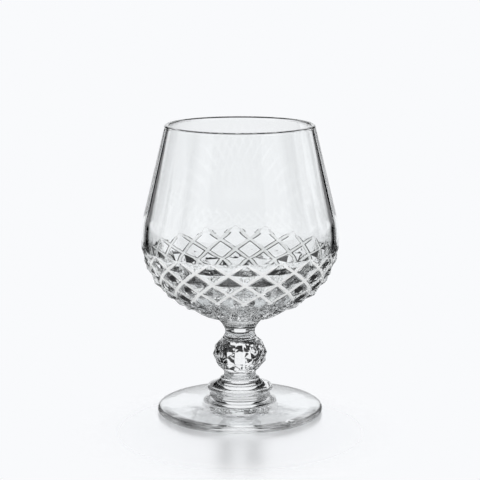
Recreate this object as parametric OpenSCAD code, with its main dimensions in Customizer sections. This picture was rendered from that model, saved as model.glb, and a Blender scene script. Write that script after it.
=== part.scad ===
// Brandy snifter of cut glass: a wide bowl with a band of diamond cutting, a short stem with a
// cut knop, a flared collar and a round foot. Five gathers of glass joined at flat weld seams.
// Sizes are in millimetres. The foot rests on z = 0, the axis is Z and the front faces -Y.

/* [Bowl] */
// Height of the bowl from its seam on the neck to the top of the rim
bowl_h = 91.6; // [84:0.2:100]
// Outer radius at the widest ring
belly_r = 44; // [43:0.5:46]
// Height of the widest ring above the bowl's seam
belly_up = 39.6; // [39:0.2:42]
// Outer radius at the rim
rim_r = 33.2; // [31:0.2:35]
// Radius of the curve that leads from the widest ring into the straight upper wall
shoulder_curve = 54; // [46:1:60]
// Radius of the curve on the side of the bowl below the widest ring
side_curve = 31; // [29:0.2:32]
// Height of the bowl's round underside above the seam, at the axis
base_up = 3.9; // [3.4:0.1:4.4]
// Wall thickness at the widest ring
belly_wall = 3.1; // [2.6:0.1:3.6]
// Wall thickness at the rim
rim_wall = 1.9; // [1.6:0.1:2.4]
// Thickness of the glass at the bottom of the bowl
floor_wall = 4.7; // [4.2:0.1:5.6]
// How far the rounded rim stands proud of the wall on each side
rim_bead = 0.1; // [0.05:0.05:0.2]
// Radius at the foot of the flare under the bowl
flare_foot_r = 7; // [6.9:0.1:7.4]
// Radius where the flare under the bowl meets its round underside
flare_top_r = 11.8; // [10.8:0.2:12.8]
// Radius of the hollow curve of that flare
flare_curve = 10; // [8:0.5:16]

/* [Diamond cutting] */
// Number of grooves in each direction
cut_count = 18; // [14:1:22]
// Rows of crossings from the top tips to the bottom tips
cut_rows = 6; // [4:1:6]
// Height between two rows of crossings
cut_row_h = 5.1; // [4.4:0.1:5.1]
// Distance of the top tips below the widest ring
cut_drop = 2.2; // [1.6:0.1:2.4]
// Depth of a groove
cut_depth = 0.75; // [0.5:0.05:1]
// Height at which the two walls of neighbouring grooves would meet above the middle of a diamond
cut_peak = 2.6; // [2.2:0.1:3.2]
// Turn of the pattern from the front
cut_turn = 3.2; // [0:0.1:20]

/* [Neck] */
// Height of the neck between bowl and knop
neck_h = 4.6; // [4:0.2:6]
// Radius of the neck at its waist
neck_r = 6.7; // [6.2:0.1:6.8]
// Height of the waist as a share of the neck's height
neck_waist = 0.74; // [0.6:0.02:0.8]

/* [Knop] */
// Height of the knop
knop_h = 14.4; // [13:0.2:16]
// Radius of the knop at the points of its widest diamonds
knop_r = 12.3; // [11.5:0.1:13]
// Radius of the knop's round ends, where neck and collar join it
knop_end_r = 8; // [7.6:0.1:8.4]
// Number of diamonds round the knop
knop_count = 10; // [8:1:12]
// Depth of the knop's cuts below the points of the diamonds
knop_depth = 0.6; // [0.4:0.1:1]
// Turn of the knop's pattern from the front
knop_turn = 6.5; // [0:0.5:36]

/* [Collar] */
// Height of the collar between foot and knop
collar_h = 14.2; // [13.6:0.2:16]
// Radius of the thin neck below the knop
collar_neck_r = 7.1; // [6.5:0.1:7.2]
// Length of the hollow of that neck above its waist
collar_neck_up = 1.8; // [1.6:0.1:2]
// Radius of the small step between neck and shoulder
step_r = 8.8; // [8.4:0.1:9.2]
// Height of the step above the foot seam
step_up = 9.8; // [9.4:0.1:10.2]
// Radius of the lip at the edge of the shoulder
lip_r = 14.7; // [14.3:0.1:15.4]
// Thickness of the lip
lip_t = 2.2; // [1.8:0.1:2.6]
// Height of the lip's middle above the foot seam
lip_up = 5.8; // [5.4:0.1:6.2]
// Radius of the hollow curve of the shoulder
shoulder_dip = 12; // [8:0.5:20]
// Radius of the narrow ring below the lip
ankle_r = 13.4; // [13:0.1:13.8]
// Height of that narrow ring above the foot seam
ankle_up = 4; // [3.6:0.1:4.4]
// Radius of the collar where it joins the foot
collar_foot_r = 17; // [16.6:0.1:17.4]

/* [Foot] */
// Radius of the foot
foot_r = 37.2; // [35:0.2:40]
// Height of the foot at the collar's seam
foot_h = 5.2; // [4.8:0.1:6]
// Thickness of the foot at its rounded edge
edge_t = 3; // [2.6:0.1:3.6]
// Depth of the hollow under the foot
hollow_h = 1.2; // [0.6:0.1:1.6]
// Width of the flat ring on which the foot stands
rest_w = 4; // [3:0.2:6]

/* [Hidden] */
$fn = 96;
// Overlap where two curves of one outline run into each other
lap = 0.02;
// Height above the glass at which a groove runs out at the tips of the pattern
run_out = 0.2;
// Rows of diamonds on the knop
knop_rows = 4;
// How far the shape that the cutting leaves reaches past the glass, above and below
past = 6;
// Sides of the very large circle that hollows the foot
hollow_sides = 1440;

// Heights of the weld seams, from the foot upwards, and of the rings of the bowl
z_collar = foot_h;
z_knop = z_collar + collar_h;
z_neck = z_knop + knop_h;
z_bowl = z_neck + neck_h;
z_belly = z_bowl + belly_up;
z_base = z_bowl + base_up;
rim_round = rim_wall / 2 + rim_bead;
z_rim = z_bowl + bowl_h - rim_round;

// Side curve and round underside of the bowl: radius of the second, both centres, and where they meet
base_curve = under_curve(belly_r, side_curve, z_belly - z_base);
side_c = [belly_r - side_curve, z_belly];
base_c = [0, z_base + base_curve];
meet_z = base_c.y - base_curve * (base_c.y - side_c.y) / norm(base_c - side_c);

// Radius of the underside that runs smoothly into a side curve, for a bowl of radius r
function under_curve(r, side, drop) =
    (pow(r - side, 2) + drop * drop - pow(side - lap, 2)) / (2 * (drop - side + lap));

// Radius of a hollow whose bottom lies dx in and dz along from the end it must pass through
function hollow_curve(dx, dz) = (dx * dx + dz * dz) / (2 * dx);

// Middle of an arc of radius rad from p to q, on the right of the way from p to q
function arc_centre(p, q, rad) =
    let (half = norm(q - p) / 2, along = (q - p) / (2 * half))
    (p + q) / 2 + sqrt(rad * rad - half * half) * [along.y, -along.x];

// Point of the bowl's outside at height z, moved outwards by e
function skin(z, e) =
    let (c = z > meet_z ? side_c : base_c, rad = z > meet_z ? side_curve : base_curve)
    let (out = sqrt(rad * rad - pow(c.y - z, 2)))
    c + [out, z - c.y] * (rad + e) / rad;

// Point of the knop's ball at share f of its height from the top, moved inwards by e
function ball(f, e) =
    let (reach = sqrt(1 - pow(knop_end_r / knop_r, 2)))
    [knop_r * sqrt(1 - pow(reach * (2 * f - 1), 2)) - e, z_neck - f * knop_h];

function spin(p, angle) = [p.x * cos(angle), p.x * sin(angle), p.y];

// Faces of a diamond lattice with rows + 1 rows of 2n nodes and a ring of 2n points at each end.
// Nodes are crossings and peaks by turns. Bent grooves have one more point between two crossings.
function lattice_faces(n, rows, bent) =
    let (m = 2 * n, mids = (rows + 1) * m, top = mids + (bent ? rows * m : 0), bottom = top + m)
    concat(
        [for (j = [0 : rows], k = [0 : m - 1], s = [-1, 1], v = [-1, 1])
            if ((j + k) % 2 == 1 && j + v >= 0 && j + v <= rows)
                let (peak = j * m + k, side = j * m + (k + s + m) % m, end = (j + v) * m + k)
                let (mid = mids + (v > 0 ? j : j - 1) * m + (k + (s > 0 ? 0 : m - 1)) % m)
                let (way = bent ? [side, mid, end] : [side, end])
                each [for (i = [1 : len(way) - 1])
                    s * v > 0 ? [peak, way[i - 1], way[i]] : [peak, way[i], way[i - 1]]]],
        [for (k = [0 : m - 1]) let (l = (k + 1) % m)
            each [[k, top + k, top + l], [k, top + l, l]]],
        [for (k = [0 : m - 1]) let (l = (k + 1) % m, low = rows * m)
            each [[low + k, low + l, bottom + l], [low + k, bottom + l, bottom + k]]],
        [[for (k = [m - 1 : -1 : 0]) top + k]],
        [[for (k = [0 : m - 1]) bottom + k]]);

// Half outline of a bowl: round underside, side arc, shoulder arc and straight wall up to top_z + over.
// The underside is kept within a sector that reaches far past it, and each arc is tucked into the next.
module bowl_outline(r, top_r, shoulder, side, wide_z, low_z, top_z, over) {
    under = under_curve(r, side, wide_z - low_z);
    under_at = [0, low_z + under];
    side_at = [r - side, wide_z];
    way = (side_at - under_at) / norm(side_at - under_at);
    shoulder_at = [r - lap - shoulder, wide_z];
    to_top = [top_r, top_z] - shoulder_at;
    lean = atan2(to_top.y, to_top.x) - acos((shoulder - lap) / norm(to_top));
    leave = shoulder_at + (shoulder - lap) * [cos(lean), sin(lean)];
    end = [top_r, top_z] + over * [-sin(lean), cos(lean)];
    far = 3 * under;
    tuck = side / 8;
    intersection() {
        translate(under_at) circle(under);
        polygon([[0, wide_z], side_at, under_at + far * way, [0, low_z - far]]);
    }
    intersection() {
        translate(side_at) circle(side);
        translate([0, low_z]) square([2 * r, wide_z - low_z + tuck]);
    }
    intersection() {
        translate(shoulder_at) circle(shoulder);
        translate([0, wide_z]) square([2 * r, leave.y - wide_z + tuck]);
    }
    polygon([[0, leave.y], leave, end, [0, end.y]]);
}

// Short flare that carries the bowl down to its seam
module flare_outline() {
    low = [flare_foot_r, z_bowl];
    high = [flare_top_r, base_c.y + lap - sqrt(base_curve * base_curve - flare_top_r * flare_top_r)];
    difference() {
        polygon([[0, z_bowl], low, high, [0, high.y + floor_wall / 2]]);
        translate(arc_centre(low, high, flare_curve)) circle(flare_curve);
    }
}

module bowl_section() {
    difference() {
        bowl_outline(belly_r, rim_r, shoulder_curve, side_curve, z_belly, z_base, z_rim, 0);
        bowl_outline(belly_r - belly_wall, rim_r - rim_wall, shoulder_curve - belly_wall,
            side_curve - belly_wall, z_belly, z_base + floor_wall, z_rim, rim_wall);
    }
    flare_outline();
    translate([rim_r - rim_wall / 2, z_rim]) circle(rim_round);
}

// What the cutting wheel leaves: groove walls that rise past the glass in the middle of each diamond
module cut_keep() {
    step = 180 / cut_count;
    first = cut_turn - 90;
    function row_z(j) = z_belly - cut_drop - j * cut_row_h;
    function crossing(j) = j == 0 || j == cut_rows ? run_out : -cut_depth;
    function lattice_node(j, k) = skin(row_z(j), (j + k) % 2 == 1 ? cut_peak : crossing(j));
    turns = [0 : 2 * cut_count - 1];
    points = concat(
        [for (j = [0 : cut_rows], k = turns) spin(lattice_node(j, k), first + k * step)],
        [for (j = [0 : cut_rows - 1], k = turns)
            spin(skin(row_z(j + 0.5), -cut_depth), first + (k + 0.5) * step)],
        [for (k = turns) spin([belly_r + past, z_rim + past], first + k * step)],
        [for (k = turns) spin([flare_top_r + past, z_bowl - past], first + k * step)]);
    polyhedron(points, lattice_faces(cut_count, cut_rows, true));
}

module bowl() {
    color("LightCyan") intersection() {
        rotate_extrude() bowl_section();
        cut_keep();
    }
}

module neck() {
    waist = neck_h * neck_waist;
    curve = hollow_curve(knop_end_r - neck_r, waist);
    color("PowderBlue") translate([0, 0, z_neck]) rotate_extrude() difference() {
        square([knop_end_r, neck_h]);
        translate([neck_r + curve, waist]) circle(curve);
    }
}

module knop() {
    step = 180 / knop_count;
    first = knop_turn - 90;
    turns = [0 : 2 * knop_count - 1];
    points = concat(
        [for (j = [0 : knop_rows], k = turns)
            spin(ball((j + 0.5) / (knop_rows + 1), (j + k) % 2 == 1 ? 0 : knop_depth), first + k * step)],
        [for (k = turns) spin([knop_end_r, z_neck], first + k * step)],
        [for (k = turns) spin([knop_end_r, z_knop], first + k * step)]);
    color("LightBlue") polyhedron(points, lattice_faces(knop_count, knop_rows, false));
}

module collar_section() {
    ankle_curve = hollow_curve(collar_foot_r - ankle_r, ankle_up);
    neck_curve = hollow_curve(knop_end_r - collar_neck_r, collar_neck_up);
    lip_at = [lip_r - lip_t / 2, lip_up];
    shoulder_low = [lip_at.x, lip_up + lip_t / 2];
    shoulder_high = [step_r, step_up];
    difference() {
        square([collar_foot_r, lip_up]);
        translate([ankle_r + ankle_curve, ankle_up]) circle(ankle_curve);
    }
    translate(lip_at) circle(lip_t / 2);
    difference() {
        polygon([[0, lip_up], lip_at, shoulder_low, shoulder_high, [0, step_up]]);
        translate(arc_centre(shoulder_low, shoulder_high, shoulder_dip)) circle(shoulder_dip);
    }
    difference() {
        translate([0, step_up]) square([step_r, collar_h - step_up]);
        translate([collar_neck_r + neck_curve, collar_h - collar_neck_up]) circle(neck_curve);
    }
}

module collar() {
    color("PowderBlue") translate([0, 0, z_collar]) rotate_extrude() collar_section();
}

module foot() {
    edge_at = [foot_r - edge_t / 2, edge_t / 2];
    rest_in = edge_at.x - rest_w;
    hollow = hollow_curve(hollow_h, rest_in);
    color("LightCyan") rotate_extrude() difference() {
        union() {
            polygon([[0, 0], [edge_at.x, 0], [edge_at.x, edge_t], [collar_foot_r, foot_h], [0, foot_h]]);
            translate(edge_at) circle(edge_t / 2);
        }
        intersection() {
            translate([0, hollow_h - hollow]) circle(hollow, $fn = hollow_sides);
            translate([0, -foot_h]) square([foot_r, 2 * foot_h]);
        }
    }
}

bowl();
neck();
knop();
collar();
foot();
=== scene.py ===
"""Brandy snifter of cut glass on a white studio table: five gathers of glass joined at weld seams."""
import math

import bpy
import numpy as np
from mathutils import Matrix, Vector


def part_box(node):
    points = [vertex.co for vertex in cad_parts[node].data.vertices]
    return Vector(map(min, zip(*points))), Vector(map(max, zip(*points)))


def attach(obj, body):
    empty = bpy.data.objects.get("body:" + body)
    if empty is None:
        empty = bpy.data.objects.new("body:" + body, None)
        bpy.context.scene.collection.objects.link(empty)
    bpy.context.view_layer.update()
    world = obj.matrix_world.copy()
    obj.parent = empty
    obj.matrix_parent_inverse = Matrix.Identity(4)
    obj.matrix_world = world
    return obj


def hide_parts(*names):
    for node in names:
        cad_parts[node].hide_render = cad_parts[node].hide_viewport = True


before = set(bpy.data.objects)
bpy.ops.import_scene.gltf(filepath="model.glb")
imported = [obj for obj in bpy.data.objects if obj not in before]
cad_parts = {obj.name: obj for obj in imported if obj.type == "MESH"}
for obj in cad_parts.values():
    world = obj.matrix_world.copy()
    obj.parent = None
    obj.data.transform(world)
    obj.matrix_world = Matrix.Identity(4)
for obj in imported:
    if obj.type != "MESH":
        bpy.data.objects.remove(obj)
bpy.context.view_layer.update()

MM = 0.001


def span(node):
    """Lowest and highest height and widest radius of a piece of the frame, in millimetres."""
    low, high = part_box(node)
    return low[2] / MM, high[2] / MM, high[0] / MM


# Heights and widest radii that the frame gives, in millimetres
z_bowl, z_top, belly_r = span("bowl")
z_neck = span("neck")[0]
z_knop = span("knop")[0]
z_rest, z_collar, foot_r = span("foot")

# Bowl, in millimetres
belly_up = 39.6
rim_r = 33.2
shoulder_curve = 54
side_curve = 31
base_up = 3.9
belly_wall = 3.1
rim_wall = 1.9
floor_wall = 4.7
rim_round = 1.05
flare_foot_r = 7
flare_top_r = 11.8
flare_curve = 10
# Direction, in degrees, in which the arc of the floor inside ends, just short of the axis
floor_end = -88.5

# Diamond cutting of the bowl: grooves in each direction, rows of crossings, and rows with matt grooves
cut_count = 18
cut_rows = 6
matt_rows = 4.2
# Height of a row and drop of the top tips below the widest ring, in millimetres, and turn in degrees
cut_row_h = 5.1
cut_drop = 2.2
cut_turn = 3.2
# Height of the diamonds at the top and at the foot of the band and of a groove's walls, in millimetres
diamond_high = 0.65
diamond_low = 1.9
groove_wall = 0.2
# Half the width of a groove as a share of half the way to the next one, and how much of it is matt
groove_half = 0.155
matt_share = 0.9
# Full sizes per row by which the cutting grows from its top tips and shrinks towards its foot
grow_rate = 2
end_rate = 6
# Columns of the mesh from one groove to the next, and rows from one row of crossings to the next
cut_columns = 32
cut_steps = cut_columns // 2

# Neck, knop, collar and foot, in millimetres: neck_waist is a share of height, knop_turn is in degrees
neck_r = 6.7
neck_waist = 0.74
knop_r = 12.3
knop_end_r = 8
knop_count = 10
knop_rows = 4
knop_depth = 0.6
knop_turn = 6.5
collar_neck_r = 7.1
collar_neck_up = 1.8
step_r = 8.8
step_up = 9.8
lip_r = 14.7
lip_t = 2.2
lip_up = 5.8
shoulder_dip = 12
ankle_r = 13.4
ankle_up = 4
collar_foot_r = 17
edge_t = 3
hollow_h = 1.2
rest_w = 4
dish_start_r = 1

# Columns of the plain round pieces, and how far along them a seam takes to turn from many-sided to round
round_columns = 240
seam_blend = 1.5

# Points along each stretch of the outlines of the bowl, the neck, the collar and the foot
flare_points = 8
under_points = 6
over_points = 5
shoulder_points = 9
wall_points = 4
bead_points = 14
inside_points = 12
floor_points = 10
neck_points = 28
curve_points = 22
dip_points = 18
disc_points = 30

# Turn at an edge, in degrees, beyond which it stays hard
bowl_crease = 6
neck_crease = 30
knop_crease = 4
collar_crease = 34
foot_crease = 34

z_belly = z_bowl + belly_up
z_base = z_bowl + base_up
z_rim = z_top - rim_round


def arc(centre, radius, start, stop, count):
    """Points, as radius and height, at even steps on a circle from angle start to stop, in degrees."""
    turn = np.radians(np.linspace(start, stop, count))
    return np.stack([centre[0] + radius * np.cos(turn), centre[1] + radius * np.sin(turn)], 1)


def line(start, stop, count):
    """Points at even steps on the straight way from start to stop."""
    share = np.linspace(0, 1, count)[:, None]
    return np.asarray(start) * (1 - share) + np.asarray(stop) * share


def angle(centre, point):
    """Direction from centre to point, in degrees."""
    return math.degrees(math.atan2(point[1] - centre[1], point[0] - centre[0]))


def arc_between(start, stop, radius, count):
    """The short arc of that radius from start to stop whose middle is on the right of the way."""
    start = np.asarray(start, float)
    stop = np.asarray(stop, float)
    half = np.linalg.norm(stop - start) / 2
    along = (stop - start) / (2 * half)
    centre = (start + stop) / 2 + math.sqrt(radius ** 2 - half ** 2) * np.array([along[1], -along[0]])
    first = angle(centre, start)
    turn = (angle(centre, stop) - first + 180) % 360 - 180
    return arc(centre, radius, first, first + turn, count)


def hollow_curve(dx, dz):
    """Radius of a hollow whose bottom lies dx in and dz along from the end that it passes through."""
    return (dx * dx + dz * dz) / (2 * dx)


class Wall:
    """One face of the bowl: underside, side and shoulder arcs and a straight wall, all tangent."""

    def __init__(self, inset, low_z, top_r):
        """The face lies inset from the outside, from low_z on the axis to the radius top_r at the rim."""
        self.side = side_curve - inset
        self.shoulder = shoulder_curve - inset
        self.side_at = np.array([belly_r - side_curve, z_belly])
        self.shoulder_at = np.array([belly_r - shoulder_curve, z_belly])
        drop = z_belly - low_z
        self.under = (self.side_at[0] ** 2 + drop ** 2 - self.side ** 2) / (2 * (drop - self.side))
        self.under_at = np.array([0, low_z + self.under])
        self.meet = angle(self.under_at, self.side_at)
        reach = math.dist(self.shoulder_at, (top_r, z_rim))
        self.lean = angle(self.shoulder_at, (top_r, z_rim)) - math.degrees(math.acos(self.shoulder / reach))
        self.top_r = top_r

    def below_belly(self, z):
        """Points and outward directions at heights z, on the side arc or below it on the underside."""
        z = np.asarray(z, float)
        on_side = z > self.under_at[1] + self.under * math.sin(math.radians(self.meet))
        centre = np.where(on_side[:, None], self.side_at, self.under_at)
        radius = np.where(on_side, self.side, self.under)
        rise = (z - centre[:, 1]) / radius
        out = np.stack([np.sqrt(1 - rise ** 2), rise], 1)
        return centre + out * radius[:, None], out

    def bead_end(self, side):
        """Where the straight wall meets the rim's round bead: side is 1 outside and -1 inside.

        It is the point on the wall's line, below the rim, that lies rim_round from the bead's middle.
        """
        half = side * rim_wall / 2
        lean = math.radians(self.lean)
        back = -half * math.sin(lean) + math.sqrt((half * math.sin(lean)) ** 2 + rim_round ** 2 - half ** 2)
        return np.array([self.top_r + back * math.sin(lean), z_rim - back * math.cos(lean)])

    def above_belly(self, side):
        """Shoulder arc from the widest ring, then the straight wall up to the bead."""
        shoulder = arc(self.shoulder_at, self.shoulder, 0, self.lean, shoulder_points)
        return np.concatenate([shoulder, line(shoulder[-1], self.bead_end(side), wall_points)[1:]])


def from_lines(rows, columns):
    """Distance of a place on the grid from the next falling and the next rising line: 0 on it, 1 midway."""
    half = cut_columns / 2
    from_falling = np.abs((columns - rows + half) % cut_columns - half) / half
    from_rising = np.abs((columns + rows + half) % cut_columns - half) / half
    return from_falling, from_rising


def fade_out(rows):
    """Share of the cutting's full size at a row: it grows from the top tips and shrinks to its foot."""
    last = cut_rows * cut_steps
    return np.clip(np.minimum(grow_rate * rows, end_rate * (last - rows)) / cut_steps, 0, 1)


def groove_depth():
    """Depth of the cutting on a grid of rows, from the top tips down, and columns.

    Along each line runs a groove with a flat bottom and short steep walls. Each diamond between the grooves
    has four flat sides: it rises evenly from the nearest groove to its middle, lower in the upper rows.
    """
    rows = np.arange(cut_rows * cut_steps + 1)[:, None]
    columns = np.arange(cut_count * cut_columns)[None, :]
    fade = fade_out(rows)
    half = groove_half * fade
    past = np.minimum(*from_lines(rows, columns)) - half
    up = np.clip(past / (1 - half), 0, 1)
    wall = np.clip(1 - past * cut_steps, 0, 1)
    height = diamond_high + (diamond_low - diamond_high) * rows / rows[-1]
    return fade * (height * (1 - up) + groove_wall * wall)


def cell_middles():
    """Rows and columns of the middles of that grid's cells, half a step past its points."""
    rows = np.arange(cut_rows * cut_steps)[:, None] + 0.5
    columns = np.arange(cut_count * cut_columns)[None, :] + 0.5
    return rows, columns


def groove_bottoms():
    """True for each cell of that grid that lies on the bottom of a groove, down to the last matt row."""
    rows, columns = cell_middles()
    near = np.minimum(*from_lines(rows, columns)) < groove_half * fade_out(rows) * matt_share
    return near & (rows < matt_rows * cut_steps)


def groove_splits():
    """True for each cell of that grid that is split along a line that rises to the right, else False."""
    from_falling, from_rising = from_lines(*cell_middles())
    return from_rising < from_falling


def spun(outline, columns, turn=0.0):
    """Rows of points: each point of an outline, given as radius and height, carried round the axis."""
    outline = np.asarray(outline, float)
    if outline.ndim == 2:
        outline = np.repeat(outline[:, None, :], columns, axis=1)
    way = np.radians(turn - 90) + np.arange(columns) * 2 * np.pi / columns
    return np.stack([outline[..., 0] * np.cos(way), outline[..., 0] * np.sin(way), outline[..., 1]], 2)


def closed_mesh(name, rows, low, high, splits=None, split_from=0):
    """Mesh of rows of points round the axis, closed by a fan to the points low and high on the axis.

    Cells between rows are quads. From row split_from on, for as many rows as splits has, they are two
    triangles each, which come first among the faces, and splits says along which diagonal.
    Returns the mesh and the row that each face belongs to, with -1 and the last row for the two fans.
    """
    count, columns = rows.shape[:2]
    here = np.arange(columns)
    beyond = np.roll(here, -1)
    start = np.arange(count - 1)[:, None] * columns
    cells = np.stack([start + here, start + beyond, start + columns + beyond, start + columns + here], 2)
    row_of = np.repeat(np.arange(count - 1)[:, None], columns, axis=1)
    plain = np.ones(count - 1, bool)
    faces = []
    owner = []
    if splits is not None:
        plain[split_from:split_from + len(splits)] = False
        cut = cells[~plain]
        rising = np.stack([cut[..., [0, 1, 2]], cut[..., [0, 2, 3]]], 2)
        falling = np.stack([cut[..., [0, 1, 3]], cut[..., [1, 2, 3]]], 2)
        faces += np.where(splits[..., None, None], rising, falling).reshape(-1, 3).tolist()
        owner.append(np.repeat(row_of[~plain].ravel(), 2))
    faces += cells[plain].reshape(-1, 4).tolist()
    owner.append(row_of[plain].ravel())
    pole = count * columns
    last = (count - 1) * columns
    faces += np.stack([np.full(columns, pole), beyond, here], 1).tolist()
    faces += np.stack([last + here, last + beyond, np.full(columns, pole + 1)], 1).tolist()
    owner += [np.full(columns, -1), np.full(columns, count - 1)]
    points = np.concatenate([rows.reshape(-1, 3), [[0, 0, low], [0, 0, high]]]) * MM
    mesh = bpy.data.meshes.new(name)
    mesh.from_pydata(points.tolist(), [], faces)
    return mesh, np.concatenate(owner)


def place(mesh, node, materials, which, crease):
    """Puts a piece in the place of a node, smooth but for edges that turn by more than crease degrees.

    The array which gives, face by face, the number of its material.
    """
    for material in materials:
        mesh.materials.append(material)
    mesh.polygons.foreach_set("material_index", which.astype(np.int32))
    mesh.polygons.foreach_set("use_smooth", np.ones(len(which), bool))
    mesh.set_sharp_from_angle(angle=math.radians(crease))
    mesh.update()
    piece = bpy.data.objects.new(mesh.name, mesh)
    bpy.context.scene.collection.objects.link(piece)
    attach(piece, "root")
    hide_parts(node)


def neck_radius(z):
    """Radius of the neck at height z: a hollow arc from the knop's end in to the waist and out again."""
    waist = (z_bowl - z_neck) * neck_waist
    curve = hollow_curve(knop_end_r - neck_r, waist)
    return neck_r + curve - np.sqrt(curve ** 2 - (z - z_neck - waist) ** 2)


def make_bowl(glass, cut_glass, matt_glass, weld):
    """Bowl: up the flare, the cut band and the wall, over the rim and down to the floor inside."""
    z_floor = z_base + floor_wall
    outside = Wall(0, z_base, rim_r)
    inside = Wall(belly_wall, z_floor, rim_r - rim_wall)
    flare_top_z = outside.under_at[1] - math.sqrt(outside.under ** 2 - flare_top_r ** 2)
    flare = arc_between((flare_foot_r, z_bowl), (flare_top_r, flare_top_z), flare_curve, flare_points)
    tips_z = z_belly - cut_drop
    last_z = tips_z - cut_rows * cut_row_h
    under, _ = outside.below_belly(np.linspace(flare_top_z, last_z, under_points)[1:-1])
    band, out = outside.below_belly(np.linspace(last_z, tips_z, cut_rows * cut_steps + 1))
    over, _ = outside.below_belly(np.linspace(tips_z, z_belly, over_points)[1:-1])
    rim_at = (rim_r - rim_wall / 2, z_rim)
    first = angle(rim_at, outside.bead_end(1))
    last = angle(rim_at, inside.bead_end(-1)) % 360
    bead = arc(rim_at, rim_round, first, last, bead_points)[1:-1]
    down = np.concatenate([
        inside.above_belly(-1)[::-1],
        arc(inside.side_at, inside.side, 0, inside.meet, inside_points)[1:],
        arc(inside.under_at, inside.under, inside.meet, floor_end, floor_points)[1:]])
    columns = cut_count * cut_columns
    low = spun(np.concatenate([[[neck_radius(z_bowl), z_bowl]], flare, under]), columns, cut_turn)
    depth = groove_depth()[::-1]
    cut = spun(band[:, None, :] - out[:, None, :] * depth[..., None], columns, cut_turn)
    high = spun(np.concatenate([over, outside.above_belly(1), bead, down]), columns, cut_turn)
    rows = np.concatenate([low, cut, high])
    mesh, owner = closed_mesh("bowl_glass", rows, z_bowl, z_floor, groove_splits()[::-1], len(low))
    which = np.where((owner >= len(low)) & (owner < len(low) + len(cut) - 1), 1, 0)
    bottoms = np.repeat(groove_bottoms()[::-1].ravel(), 2)
    which[:len(bottoms)][bottoms] = 2
    which[owner == -1] = 3
    place(mesh, "bowl", [glass, cut_glass, matt_glass, weld], which, bowl_crease)


def knop_sides(columns):
    """Share of a circle's radius at which a side of the knop's many-sided end lies, for each column."""
    side = math.pi / knop_count
    past = (np.arange(columns) * 2 * np.pi / columns) % side
    return np.cos(side / 2) / np.cos(past - side / 2)


def toward_knop(outline, z_seam):
    """Rows of points of a round piece that turns into the knop's many-sided end on its way to the seam."""
    near = np.clip(1 - np.abs(outline[:, 1] - z_seam) / seam_blend, 0, 1)[:, None]
    squeezed = np.repeat(outline[:, None, :], round_columns, axis=1)
    squeezed[..., 0] *= 1 - near * (1 - knop_sides(round_columns))
    return spun(squeezed, round_columns, knop_turn)


def weld_ends(owner, rows):
    """Material numbers of a piece welded at both ends: 1 on the two fans, 0 elsewhere."""
    return np.where((owner == -1) | (owner == len(rows) - 1), 1, 0)


def make_neck(glass, weld):
    """Neck: its hollow arc, from the knop up to the bowl, carried round the axis."""
    z = np.linspace(z_neck, z_bowl, neck_points)
    rows = toward_knop(np.stack([neck_radius(z), z], 1), z_neck)
    mesh, owner = closed_mesh("neck_glass", rows, z_neck, z_bowl)
    place(mesh, "neck", [glass, weld], weld_ends(owner, rows), neck_crease)


def make_knop(cut_glass, weld):
    """Knop: a ball whose points, in both directions, lie by turns on it and a cut's depth inside it."""
    columns = 2 * knop_count
    row = np.arange(knop_rows, -1, -1)[:, None]
    share = (row + 0.5) / (knop_rows + 1)
    reach = math.sqrt(1 - (knop_end_r / knop_r) ** 2)
    ball = knop_r * np.sqrt(1 - (reach * (2 * share - 1)) ** 2)
    crossing = (row + np.arange(columns)) % 2 == 0
    r = ball - knop_depth * crossing
    z = np.repeat(z_neck - share * (z_neck - z_knop), columns, axis=1)
    ends = [np.full((1, columns, 2), (knop_end_r, z_end)) for z_end in (z_knop, z_neck)]
    outline = np.concatenate([ends[0], np.stack([r, z], 2), ends[1]])
    rows = spun(outline, columns, knop_turn)
    mesh, owner = closed_mesh("knop_glass", rows, z_knop, z_neck, crossing[:-1], 1)
    place(mesh, "knop", [cut_glass, weld], weld_ends(owner, rows), knop_crease)


def make_collar(glass, weld):
    """Collar: ankle, round lip, hollow shoulder, small step and hollow neck, carried round the axis."""
    ankle = hollow_curve(collar_foot_r - ankle_r, ankle_up)
    ankle_at = np.array([ankle_r + ankle, z_collar + ankle_up])
    lip = lip_t / 2
    lip_at = np.array([lip_r - lip, z_collar + lip_up])
    apart = math.dist(ankle_at, lip_at)
    swing = math.degrees(math.acos((ankle ** 2 + apart ** 2 - lip ** 2) / (2 * ankle * apart)))
    ankle_first = angle(ankle_at, (collar_foot_r, z_collar)) % 360
    ankle_last = angle(ankle_at, lip_at) % 360 + swing
    hollow = arc(ankle_at, ankle, ankle_first, ankle_last, curve_points)
    edge = arc(lip_at, lip, angle(lip_at, hollow[-1]), 90, curve_points)
    shoulder = arc_between(edge[-1], (step_r, z_collar + step_up), shoulder_dip, dip_points)
    throat = hollow_curve(knop_end_r - collar_neck_r, collar_neck_up)
    throat_at = (collar_neck_r + throat, z_knop - collar_neck_up)
    step_z = throat_at[1] - math.sqrt(throat ** 2 - (throat_at[0] - step_r) ** 2)
    throat_first = angle(throat_at, (step_r, step_z)) % 360
    throat_last = angle(throat_at, (knop_end_r, z_knop))
    upper = arc(throat_at, throat, throat_first, throat_last, curve_points)
    outline = np.concatenate([hollow, edge[1:], shoulder[1:], upper])
    rows = toward_knop(outline, z_knop)
    mesh, owner = closed_mesh("collar_glass", rows, z_collar, z_knop)
    place(mesh, "collar", [glass, weld], weld_ends(owner, rows), collar_crease)


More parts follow.
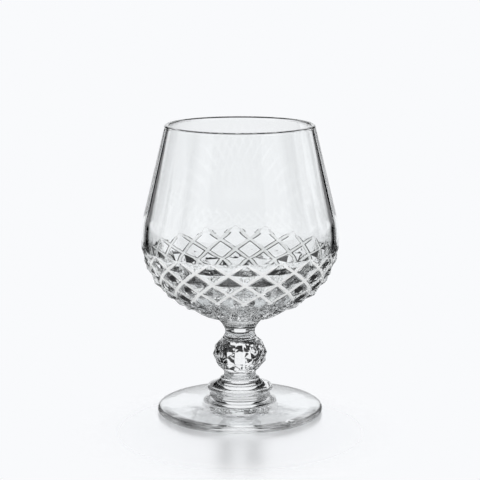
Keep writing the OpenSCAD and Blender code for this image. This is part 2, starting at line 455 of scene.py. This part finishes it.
def make_foot(glass, weld):
    """Foot: hollow underside, flat ring, round edge and a top that rises straight to the seam."""
    edge = edge_t / 2
    edge_at = (foot_r - edge, z_rest + edge)
    rest_in = edge_at[0] - rest_w
    dish = hollow_curve(hollow_h, rest_in)
    r = np.linspace(dish_start_r, rest_in, disc_points)
    z = z_rest + hollow_h - dish + np.sqrt(dish ** 2 - r ** 2)
    outline = np.concatenate([
        np.stack([r, z], 1),
        arc(edge_at, edge, -90, 90, curve_points),
        line((edge_at[0], z_rest + edge_t), (collar_foot_r, z_collar), disc_points)[1:]])
    rows = spun(outline, round_columns, knop_turn)
    mesh, owner = closed_mesh("foot_glass", rows, z_rest + hollow_h, z_collar)
    which = np.where(owner == len(rows) - 1, 1, 0)
    place(mesh, "foot", [glass, weld], which, foot_crease)


def linear(code):
    """Linear colour of an sRGB hex code: a share over 0.04045 is raised to 2.4, a smaller one divided."""
    shares = [int(code[i:i + 2], 16) / 255 for i in (1, 3, 5)]
    return [((s + 0.055) / 1.055) ** 2.4 if s > 0.04045 else s / 12.92 for s in shares] + [1.0]


def add(tree, kind, settings=None, links=None):
    """Adds a node of that kind with its settings and input values, and links its inputs to other nodes."""
    made = tree.nodes.new(kind)
    for name, value in (settings or {}).items():
        if isinstance(name, str) and hasattr(made, name):
            setattr(made, name, value)
        else:
            made.inputs[name].default_value = value
    for name, source in (links or {}).items():
        tree.links.new(source, made.inputs[name])
    return made


def blank(name):
    """A new material with an empty node tree and its output."""
    material = bpy.data.materials.new(name)
    material.use_nodes = True
    material.node_tree.nodes.clear()
    return material, material.node_tree, add(material.node_tree, "ShaderNodeOutputMaterial")


# Colourless lead crystal: its colour and how strongly it bends light
crystal = linear("#FEFFFF")
crystal_ior = 1.545
# Noise that rolls its skin: how many finer waves lie on the main one, and how strong they are
roll_detail = 1.5
roll_fine = 0.4


def clear_glass(name, wave_mm, wave_height, roughness, through=1.0):
    """Glass whose skin rolls a little, by noise of that wavelength and height in millimetres.

    Roughness blurs it, and through is the share of the light that it lets through; the rest is scattered.
    """
    material, tree, output = blank(name)
    at = add(tree, "ShaderNodeTexCoord")
    roll = add(tree, "ShaderNodeTexNoise",
               {"Scale": 1 / (wave_mm * MM), "Detail": roll_detail, "Roughness": roll_fine},
               {"Vector": at.outputs["Object"]})
    bump = add(tree, "ShaderNodeBump",
               {"Strength": 1.0, "Distance": wave_height * MM},
               {"Height": roll.outputs["Fac"]})
    finish = {"Base Color": crystal, "IOR": crystal_ior,
              "Roughness": roughness, "Transmission Weight": through}
    glass = add(tree, "ShaderNodeBsdfPrincipled", finish, {"Normal": bump.outputs["Normal"]})
    tree.links.new(glass.outputs["BSDF"], output.inputs["Surface"])
    return material


def weld_seam():
    """Where two gathers of glass were joined hot they are one glass, so nothing shows at the seam."""
    material, tree, output = blank("glass fused at a hot weld")
    through = add(tree, "ShaderNodeBsdfTransparent", {"Color": (1, 1, 1, 1)})
    tree.links.new(through.outputs["BSDF"], output.inputs["Surface"])
    return material


# Blown and fire-polished: a slow roll of the skin bends what is seen through it by a hair
blown = clear_glass("lead crystal, blown and fire-polished", 16, 0.03, 0.0)
# Wheel-cut and acid-polished: flat walls with a little of the wheel's chatter left
cut = clear_glass("lead crystal, wheel-cut and polished", 3, 0.2, 0.0)
# Wheel-cut and left matt: the bottoms of the bowl's grooves scatter light and stand out as soft white lines
matt = clear_glass("lead crystal, wheel-cut and left matt", 2.5, 0.004, 0.2, 0.3)
# Pressed and fire-polished: the foot's top keeps the shallow ripples of the tool
pressed = clear_glass("lead crystal, pressed and fire-polished", 7, 0.05, 0.0)
weld = weld_seam()

make_bowl(blown, cut, matt, weld)
make_neck(blown, weld)
make_knop(cut, weld)
make_collar(blown, weld)
make_foot(pressed, weld)

# White ground that the camera sees round the glass
background = linear("#F9FAFC")
# Table: radius, place along Y and the radii between which it fades into the ground, in metres, and corners
table_r = 0.15
table_y = -0.03
table_whole_r = 0.035
table_gone_r = 0.075
table_corners = 96
# Gap between the table and the foot, in millimetres
table_gap = 0.05
# How much the table blurs what it mirrors, and the share of its light that is mirrored
table_blur = 0.25
table_mirror = 0.45
# The studio as the glass sees it, in bands of height. Each has its lowest and highest height over the
# horizon in degrees, its brightness at the backdrop, and how that changes on the way round to the camera:
# the two turns in degrees between which it changes, and by how much.
studio_bands = [
    (-90, -20, 0.03, []),
    (-20, -11, 1.0, [(15, 17, -0.97)]),
    (-11, -3, 1.0, [(25, 26.5, -1.0)]),
    (-3, 3, 1.0, [(16, 18, -1.0), (38, 39.5, 0.9), (70, 72, -0.9)]),
    (3, 28, 1.0, [(16, 18, -1.0), (38, 39.5, 0.8), (50, 53, -0.3), (70, 71.5, 0.5), (90.5, 92, -0.85),
                  (106, 123, 0.85), (137, 141, -0.4)]),
    (28, 90, 1.0, [(16, 20, -0.97)]),
]
# White boards round the glass, for those who look at it from elsewhere: each board's turn to the right and
# height of its middle, and the width and height of all of them, in degrees
boards = [(-45, -25), (-45, 27), (-90, -3), (-90, 6), (135, -15), (135, 15)]
board_w = 26
board_h = 14
# Width of the soft edge of a band or a board, in degrees
band_edge = 1.0

# The photograph's camera: place in metres, tilt down in degrees, lens and sensor in millimetres
camera_at = (0, -0.689, 0.2085)
camera_down = 10.7
camera_lens = 118.3
camera_sensor = 36


def make_table():
    """A flat white disc just under the foot, partly mirroring, whose edge fades into the ground."""
    way = np.arange(table_corners) * 2 * np.pi / table_corners
    z = np.full(table_corners, -table_gap * MM)
    points = np.stack([table_r * np.cos(way), table_r * np.sin(way), z], 1)
    mesh = bpy.data.meshes.new("studio_table")
    mesh.from_pydata(points.tolist(), [], [list(range(table_corners))])
    table = bpy.data.objects.new("studio_table", mesh)
    table.location = (0, table_y, 0)
    bpy.context.scene.collection.objects.link(table)
    material, tree, output = blank("white acrylic sheet, satin")
    at = add(tree, "ShaderNodeTexCoord")
    far = add(tree, "ShaderNodeVectorMath", {"operation": "LENGTH"}, {0: at.outputs["Object"]})
    fade = add(tree, "ShaderNodeMapRange",
               {"interpolation_type": "SMOOTHSTEP", "From Min": table_whole_r, "From Max": table_gone_r},
               {"Value": far.outputs["Value"]})
    sheet = add(tree, "ShaderNodeBsdfPrincipled",
                {"Base Color": background, "Roughness": table_blur, "Metallic": table_mirror})
    clear = add(tree, "ShaderNodeBsdfTransparent")
    mix = add(tree, "ShaderNodeMixShader", None,
              {0: fade.outputs["Result"], 1: sheet.outputs["BSDF"], 2: clear.outputs["BSDF"]})
    tree.links.new(mix.outputs["Shader"], output.inputs["Surface"])
    mesh.materials.append(material)


def math_node(tree, operation, *values):
    """Adds a math node whose inputs are numbers or outputs of other nodes, and gives its own output."""
    made = add(tree, "ShaderNodeMath", {"operation": operation})
    for i, value in enumerate(values):
        if isinstance(value, float):
            made.inputs[i].default_value = value
        else:
            tree.links.new(value, made.inputs[i])
    return made.outputs[0]


def climb(tree, value, start, edges):
    """A level that begins at start and changes smoothly, from low to high of each edge, by its amount."""
    level = start
    for low, high, change in edges:
        step = add(tree, "ShaderNodeMapRange",
                   {"interpolation_type": "SMOOTHSTEP",
                    "From Min": low, "From Max": high, "To Max": change},
                   {"Value": value})
        level = math_node(tree, "ADD", level, step.outputs["Result"])
    return level


def stretch(tree, value, low, high):
    """A level of 1 between low and high and 0 elsewhere: it climbs at low and falls again at high."""
    half = band_edge / 2
    return climb(tree, value, 0.0, [(low - half, low + half, 1.0), (high - half, high + half, -1.0)])


def studio_brightness(tree):
    """Brightness of the studio in a ray's direction: that of its band, or of a board where that is more.

    Turns are counted from the backdrop and heights from the horizon, in degrees. The bands are alike to the
    left and to the right, and the boards are not.
    """
    at = add(tree, "ShaderNodeTexCoord")
    way = add(tree, "ShaderNodeSeparateXYZ", None, {"Vector": at.outputs["Generated"]})
    right = math_node(tree, "DEGREES", math_node(tree, "ARCTAN2", way.outputs["X"], way.outputs["Y"]))
    turn = math_node(tree, "ABSOLUTE", right)
    height = math_node(tree, "DEGREES", math_node(tree, "ARCSINE", way.outputs["Z"]))
    bright = 0.0
    for low, high, behind, edges in studio_bands:
        level = climb(tree, turn, behind, edges)
        bright = math_node(tree, "MULTIPLY_ADD", stretch(tree, height, low, high), level, bright)
    for middle, level in boards:
        wide = stretch(tree, right, middle - board_w / 2, middle + board_w / 2)
        tall = stretch(tree, height, level - board_h / 2, level + board_h / 2)
        bright = math_node(tree, "MAXIMUM", bright, math_node(tree, "MULTIPLY", wide, tall))
    return bright


def make_light():
    """World: plain ground for the camera, the studio for what gloss and glass show, else even light.

    Light that a matt surface has scattered is even too, wherever it goes afterwards.
    """
    world = bpy.data.worlds.new("studio")
    bpy.context.scene.world = world
    world.use_nodes = True
    tree = world.node_tree
    tree.nodes.clear()
    output = add(tree, "ShaderNodeOutputWorld")
    path = add(tree, "ShaderNodeLightPath")
    shiny = math_node(tree, "MAXIMUM", path.outputs["Is Glossy Ray"], path.outputs["Is Transmission Ray"])
    # The depth is a whole number, so under a half means not scattered
    unscattered = math_node(tree, "LESS_THAN", path.outputs["Diffuse Depth"], 0.5)
    direct = math_node(tree, "MULTIPLY", shiny, unscattered)
    even = add(tree, "ShaderNodeBackground", {"Color": (1, 1, 1, 1), "Strength": 1.0})
    studio = add(tree, "ShaderNodeBackground", {"Color": background}, {"Strength": studio_brightness(tree)})
    ground = add(tree, "ShaderNodeBackground", {"Color": background, "Strength": 1.0})
    lit = add(tree, "ShaderNodeMixShader", None, {0: direct, 1: even.outputs[0], 2: studio.outputs[0]})
    seen = add(tree, "ShaderNodeMixShader", None,
               {0: path.outputs["Is Camera Ray"], 1: lit.outputs[0], 2: ground.outputs[0]})
    tree.links.new(seen.outputs[0], output.inputs["Surface"])


def make_camera():
    """The photograph's camera: a long lens from the front, above the rim, looking slightly down."""
    data = bpy.data.cameras.new("camera")
    data.sensor_width = camera_sensor
    data.lens = camera_lens
    camera = bpy.data.objects.new("camera", data)
    camera.location = camera_at
    camera.rotation_euler = (math.radians(90 - camera_down), 0, 0)
    bpy.context.scene.collection.objects.link(camera)
    bpy.context.scene.camera = camera


make_table()
make_light()
make_camera()

# Light crosses many walls of glass before it leaves, so it may bounce often
scene = bpy.context.scene
scene.view_settings.view_transform = "Standard"
scene.cycles.max_bounces = 32
scene.cycles.blur_glossy = 0
scene.cycles.transmission_bounces = 32
scene.cycles.glossy_bounces = 16
scene.cycles.transparent_max_bounces = 32
